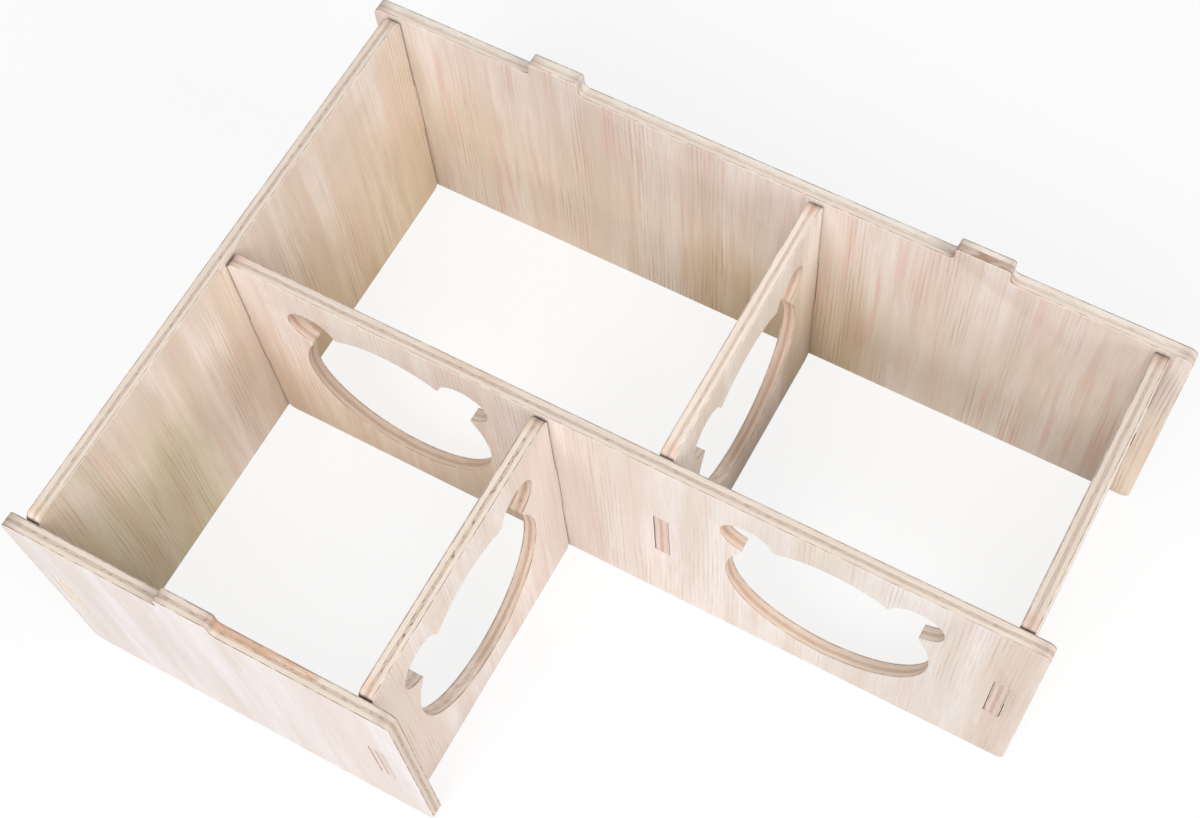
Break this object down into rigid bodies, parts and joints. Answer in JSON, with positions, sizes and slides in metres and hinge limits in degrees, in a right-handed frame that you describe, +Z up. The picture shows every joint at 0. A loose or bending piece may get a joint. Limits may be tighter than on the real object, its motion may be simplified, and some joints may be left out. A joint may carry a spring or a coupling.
{
  "type": "wooden hamster house",
  "caption": "Open-topped L-shaped hamster house of slotted plywood panels, with three rooms joined by round doorways.",
  "frame": {"origin": "middle of the footprint, on the surface that the house stands on", "axes": "+X runs along the back wall, +Y points to the back, +Z points up"},
  "size_m": [0.2904, 0.216, 0.106],
  "materials": {
    "plywood": "sanded and unvarnished"
  },
  "bodies": {
    "carcass": {"left_wall": "plywood", "middle_wall": "plywood", "room_divider": "plywood", "front_divider": "plywood", "end_wall": "plywood"},
    "back": {"back_wall": "plywood"},
    "front": {"front_wall": "plywood"}
  },
  "joints": [
    {"name": "back_wall_pull", "type": "slide", "parent": "carcass", "child": "back", "axis": [0, 1, 0], "range_m": [0, 0.012]},
    {"name": "front_wall_pull", "type": "slide", "parent": "carcass", "child": "front", "axis": [0, -1, 0], "range_m": [0, 0.012]}
  ]
}
